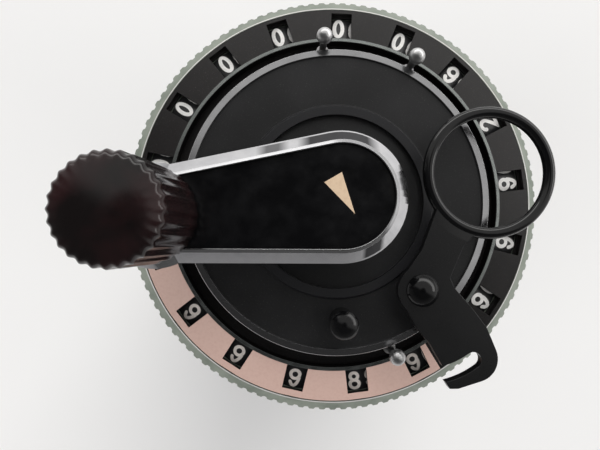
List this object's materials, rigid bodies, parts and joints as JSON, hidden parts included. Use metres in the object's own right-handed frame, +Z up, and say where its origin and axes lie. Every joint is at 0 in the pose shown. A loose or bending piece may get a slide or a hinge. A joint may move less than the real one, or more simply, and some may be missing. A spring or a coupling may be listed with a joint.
{
  "type": "mechanical calculator",
  "caption": "Hand-cranked cylindrical calculator: round body with setting sliders, lifting and turning dial carriage, stepped drum, clearing lever and folding finger ring.",
  "frame": {"origin": "centre of the base's flat underside, on the main shaft's axis", "axes": "+Z up along the main shaft, +X towards the finger ring of the stowed clearing lever, +Y towards the setting sliders"},
  "size_m": [0.0571, 0.0574, 0.1069],
  "materials": {
    "black_enamel": "satin black enamel",
    "satin_black": "fine satin black",
    "gloss_black": "glossy black enamel",
    "anodised_rim": "grey-green anodised, knurled",
    "polished_steel": "polished",
    "shaft_steel": "ground",
    "brass": "machined",
    "knob_brown": "brown-black moulded",
    "dial_black": "black with white numerals",
    "button_black": "black"
  },
  "bodies": {
    "root": {"base_plate": "black_enamel", "base_screws": "polished_steel", "outer_sleeve": "black_enamel", "lower_bearing_plate": "brass", "upper_bearing_plate": "brass", "frame_posts": "shaft_steel", "centre_tube": "shaft_steel", "transmission_shafts": "shaft_steel", "carry_levers": "brass"},
    "reversing_lever": {"reversing_lever": "polished_steel"},
    "setting_marker": {"setting_marker": "polished_steel"},
    "main_shaft": {"main_shaft": "shaft_steel"},
    "crank": {"stepped_drum": "shaft_steel", "crank_arm": "satin_black", "knob_pin": "satin_black"},
    "crank_knob": {"crank_knob": "knob_brown"},
    "carriage_spring": {"carriage_spring": "shaft_steel"},
    "carriage": {"carriage_rim": "anodised_rim", "window_ring": "black_enamel", "dial_carrier": "brass", "dial_axles": "shaft_steel"},
    "clearing_disc": {"clearing_disc": "satin_black", "disc_studs": "gloss_black"},
    "clearing_lever": {"clearing_lever": "gloss_black"},
    "setting_slider_1": {"setting_slider_1": "button_black"},
    "setting_dial_1": {"setting_dial_1": "dial_black"},
    "setting_slider_2": {"setting_slider_2": "button_black"},
    "setting_dial_2": {"setting_dial_2": "dial_black"},
    "setting_slider_3": {"setting_slider_3": "button_black"},
    "setting_dial_3": {"setting_dial_3": "dial_black"},
    "setting_slider_4": {"setting_slider_4": "button_black"},
    "setting_dial_4": {"setting_dial_4": "dial_black"},
    "setting_slider_5": {"setting_slider_5": "button_black"},
    "setting_dial_5": {"setting_dial_5": "dial_black"},
    "setting_slider_6": {"setting_slider_6": "button_black"},
    "setting_dial_6": {"setting_dial_6": "dial_black"},
    "setting_slider_7": {"setting_slider_7": "button_black"},
    "setting_dial_7": {"setting_dial_7": "dial_black"},
    "setting_slider_8": {"setting_slider_8": "button_black"},
    "setting_dial_8": {"setting_dial_8": "dial_black"},
    "result_dial_1": {"result_dial_1": "dial_black"},
    "result_dial_2": {"result_dial_2": "dial_black"},
    "result_dial_3": {"result_dial_3": "dial_black"},
    "result_dial_4": {"result_dial_4": "dial_black"},
    "result_dial_5": {"result_dial_5": "dial_black"},
    "result_dial_6": {"result_dial_6": "dial_black"},
    "result_dial_7": {"result_dial_7": "dial_black"},
    "result_dial_8": {"result_dial_8": "dial_black"},
    "result_dial_9": {"result_dial_9": "dial_black"},
    "result_dial_10": {"result_dial_10": "dial_black"},
    "result_dial_11": {"result_dial_11": "dial_black"},
    "counter_dial_1": {"counter_dial_1": "dial_black"},
    "counter_dial_2": {"counter_dial_2": "dial_black"},
    "counter_dial_3": {"counter_dial_3": "dial_black"},
    "counter_dial_4": {"counter_dial_4": "dial_black"},
    "counter_dial_5": {"counter_dial_5": "dial_black"},
    "counter_dial_6": {"counter_dial_6": "dial_black"},
    "decimal_marker_1": {"decimal_marker_1": "polished_steel"},
    "decimal_marker_2": {"decimal_marker_2": "polished_steel"},
    "decimal_marker_3": {"decimal_marker_3": "polished_steel"}
  },
  "joints": [
    {"name": "crank_lift", "type": "slide", "parent": "root", "child": "main_shaft", "axis": [0, 0, 1], "range_m": [0, 0.002]},
    {"name": "crank_turn", "type": "hinge", "parent": "main_shaft", "child": "crank", "pos_m": [0, 0, 0.09], "axis": [0, 0, 1], "continuous": true},
    {"name": "knob_spin", "type": "hinge", "parent": "crank", "child": "crank_knob", "pos_m": [-0.0204, -0.00204, 0.1], "axis": [0, 0, 1], "continuous": true},
    {"name": "carriage_turn", "type": "hinge", "parent": "root", "child": "carriage_spring", "pos_m": [0, 0, 0.08], "axis": [0, 0, 1], "range_deg": [0, 100]},
    {"name": "carriage_lift", "type": "slide", "parent": "carriage_spring", "child": "carriage", "axis": [0, 0, 1], "range_m": [0, 0.004], "stiffness_N_per_m": 600, "springref_m": -0.004, "deforming": ["carriage_spring"]},
    {"name": "clearing_sweep", "type": "hinge", "parent": "carriage", "child": "clearing_disc", "pos_m": [0, 0, 0.084], "axis": [0, 0, 1], "continuous": true},
    {"name": "clearing_fold", "type": "hinge", "parent": "clearing_disc", "child": "clearing_lever", "pos_m": [0.00978, -0.01064, 0.088], "axis": [0, 0, 1], "range_deg": [-102, 0]},
    {"name": "reversing_lever_slide", "type": "slide", "parent": "root", "child": "reversing_lever", "axis": [0, 0, 1], "range_m": [0, 0.005]},
    {"name": "setting_marker_slide", "type": "hinge", "parent": "root", "child": "setting_marker", "pos_m": [0, 0, 0.062], "axis": [0, 0, 1], "range_deg": [-50, 70]},
    {"name": "setting_slider_1_slide", "type": "slide", "parent": "root", "child": "setting_slider_1", "axis": [0, 0, -1], "range_m": [0, 0.036]},
    {"name": "setting_dial_1_turn", "type": "hinge", "parent": "root", "child": "setting_dial_1", "pos_m": [-0.02108, 0.00471, 0.067], "axis": [0, 0, 1], "range_deg": [-325, 0]},
    {"name": "setting_slider_2_slide", "type": "slide", "parent": "root", "child": "setting_slider_2", "axis": [0, 0, -1], "range_m": [0, 0.036]},
    {"name": "setting_dial_2_turn", "type": "hinge", "parent": "root", "child": "setting_dial_2", "pos_m": [-0.0182, 0.01164, 0.067], "axis": [0, 0, 1], "range_deg": [-325, 0]},
    {"name": "setting_slider_3_slide", "type": "slide", "parent": "root", "child": "setting_slider_3", "axis": [0, 0, -1], "range_m": [0, 0.036]},
    {"name": "setting_dial_3_turn", "type": "hinge", "parent": "root", "child": "setting_dial_3", "pos_m": [-0.01312, 0.01716, 0.067], "axis": [0, 0, 1], "range_deg": [-325, 0]},
    {"name": "setting_slider_4_slide", "type": "slide", "parent": "root", "child": "setting_slider_4", "axis": [0, 0, -1], "range_m": [0, 0.036]},
    {"name": "setting_dial_4_turn", "type": "hinge", "parent": "root", "child": "setting_dial_4", "pos_m": [-0.00646, 0.02061, 0.067], "axis": [0, 0, 1], "range_deg": [-325, 0]},
    {"name": "setting_slider_5_slide", "type": "slide", "parent": "root", "child": "setting_slider_5", "axis": [0, 0, -1], "range_m": [0, 0.036]},
    {"name": "setting_dial_5_turn", "type": "hinge", "parent": "root", "child": "setting_dial_5", "pos_m": [0.00098, 0.02158, 0.067], "axis": [0, 0, 1], "range_deg": [-325, 0]},
    {"name": "setting_slider_6_slide", "type": "slide", "parent": "root", "child": "setting_slider_6", "axis": [0, 0, -1], "range_m": [0, 0.036]},
    {"name": "setting_dial_6_turn", "type": "hinge", "parent": "root", "child": "setting_dial_6", "pos_m": [0.0083, 0.01994, 0.067], "axis": [0, 0, 1], "range_deg": [-325, 0]},
    {"name": "setting_slider_7_slide", "type": "slide", "parent": "root", "child": "setting_slider_7", "axis": [0, 0, -1], "range_m": [0, 0.036]},
    {"name": "setting_dial_7_turn", "type": "hinge", "parent": "root", "child": "setting_dial_7", "pos_m": [0.01462, 0.0159, 0.067], "axis": [0, 0, 1], "range_deg": [-325, 0]},
    {"name": "setting_slider_8_slide", "type": "slide", "parent": "root", "child": "setting_slider_8", "axis": [0, 0, -1], "range_m": [0, 0.036]},
    {"name": "setting_dial_8_turn", "type": "hinge", "parent": "root", "child": "setting_dial_8", "pos_m": [0.01918, 0.00994, 0.067], "axis": [0, 0, 1], "range_deg": [-325, 0]},
    {"name": "result_dial_1_turn", "type": "hinge", "parent": "carriage", "child": "result_dial_1", "pos_m": [-0.02221, 0.00497, 0.07674], "axis": [-0.9391, 0.2099, -0.2722], "continuous": true},
    {"name": "result_dial_2_turn", "type": "hinge", "parent": "carriage", "child": "result_dial_2", "pos_m": [-0.01918, 0.01226, 0.07674], "axis": [-0.8107, 0.5184, -0.2722], "continuous": true},
    {"name": "result_dial_3_turn", "type": "hinge", "parent": "carriage", "child": "result_dial_3", "pos_m": [-0.01383, 0.01808, 0.07674], "axis": [-0.5844, 0.7644, -0.2722], "continuous": true},
    {"name": "result_dial_4_turn", "type": "hinge", "parent": "carriage", "child": "result_dial_4", "pos_m": [-0.00681, 0.02172, 0.07674], "axis": [-0.2878, 0.9182, -0.2722], "continuous": true},
    {"name": "result_dial_5_turn", "type": "hinge", "parent": "carriage", "child": "result_dial_5", "pos_m": [0.00103, 0.02274, 0.07674], "axis": [0.0437, 0.9613, -0.2722], "continuous": true},
    {"name": "result_dial_6_turn", "type": "hinge", "parent": "carriage", "child": "result_dial_6", "pos_m": [0.00875, 0.02101, 0.07674], "axis": [0.3698, 0.8884, -0.2722], "continuous": true},
    {"name": "result_dial_7_turn", "type": "hinge", "parent": "carriage", "child": "result_dial_7", "pos_m": [0.01541, 0.01676, 0.07674], "axis": [0.6513, 0.7083, -0.2722], "continuous": true},
    {"name": "result_dial_8_turn", "type": "hinge", "parent": "carriage", "child": "result_dial_8", "pos_m": [0.02021, 0.01048, 0.07674], "axis": [0.8543, 0.4428, -0.2722], "continuous": true},
    {"name": "result_dial_9_turn", "type": "hinge", "parent": "carriage", "child": "result_dial_9", "pos_m": [0.02257, 0.00293, 0.07674], "axis": [0.9542, 0.1239, -0.2722], "continuous": true},
    {"name": "result_dial_10_turn", "type": "hinge", "parent": "carriage", "child": "result_dial_10", "pos_m": [0.02221, -0.00497, 0.07674], "axis": [0.9391, -0.2099, -0.2722], "continuous": true},
    {"name": "result_dial_11_turn", "type": "hinge", "parent": "carriage", "child": "result_dial_11", "pos_m": [0.01918, -0.01226, 0.07674], "axis": [0.8107, -0.5184, -0.2722], "continuous": true},
    {"name": "counter_dial_1_turn", "type": "hinge", "parent": "carriage", "child": "counter_dial_1", "pos_m": [-0.02172, -0.00681, 0.07674], "axis": [-0.9182, -0.2878, -0.2722], "continuous": true},
    {"name": "counter_dial_2_turn", "type": "hinge", "parent": "carriage", "child": "counter_dial_2", "pos_m": [-0.01808, -0.01383, 0.07674], "axis": [-0.7644, -0.5844, -0.2722], "continuous": true},
    {"name": "counter_dial_3_turn", "type": "hinge", "parent": "carriage", "child": "counter_dial_3", "pos_m": [-0.01226, -0.01918, 0.07674], "axis": [-0.5184, -0.8107, -0.2722], "continuous": true},
    {"name": "counter_dial_4_turn", "type": "hinge", "parent": "carriage", "child": "counter_dial_4", "pos_m": [-0.00497, -0.02221, 0.07674], "axis": [-0.2099, -0.9391, -0.2722], "continuous": true},
    {"name": "counter_dial_5_turn", "type": "hinge", "parent": "carriage", "child": "counter_dial_5", "pos_m": [0.00293, -0.02257, 0.07674], "axis": [0.1239, -0.9542, -0.2722], "continuous": true},
    {"name": "counter_dial_6_turn", "type": "hinge", "parent": "carriage", "child": "counter_dial_6", "pos_m": [0.01048, -0.02021, 0.07674], "axis": [0.4428, -0.8543, -0.2722], "continuous": true},
    {"name": "decimal_marker_1_slide", "type": "hinge", "parent": "carriage", "child": "decimal_marker_1", "pos_m": [0, 0, 0.081], "axis": [0, 0, 1], "range_deg": [-20, 60]},
    {"name": "decimal_marker_2_slide", "type": "hinge", "parent": "carriage", "child": "decimal_marker_2", "pos_m": [0, 0, 0.081], "axis": [0, 0, 1], "range_deg": [-60, 20]},
    {"name": "decimal_marker_3_slide", "type": "hinge", "parent": "carriage", "child": "decimal_marker_3", "pos_m": [0, 0, 0.081], "axis": [0, 0, 1], "range_deg": [-20, 60]}
  ],
  "couplings": [
    {"joint": "setting_dial_1_turn", "follows": "setting_slider_1_slide", "rad_per_m": -157.08},
    {"joint": "setting_dial_2_turn", "follows": "setting_slider_2_slide", "rad_per_m": -157.08},
    {"joint": "setting_dial_3_turn", "follows": "setting_slider_3_slide", "rad_per_m": -157.08},
    {"joint": "setting_dial_4_turn", "follows": "setting_slider_4_slide", "rad_per_m": -157.08},
    {"joint": "setting_dial_5_turn", "follows": "setting_slider_5_slide", "rad_per_m": -157.08},
    {"joint": "setting_dial_6_turn", "follows": "setting_slider_6_slide", "rad_per_m": -157.08},
    {"joint": "setting_dial_7_turn", "follows": "setting_slider_7_slide", "rad_per_m": -157.08},
    {"joint": "setting_dial_8_turn", "follows": "setting_slider_8_slide", "rad_per_m": -157.08}
  ]
}
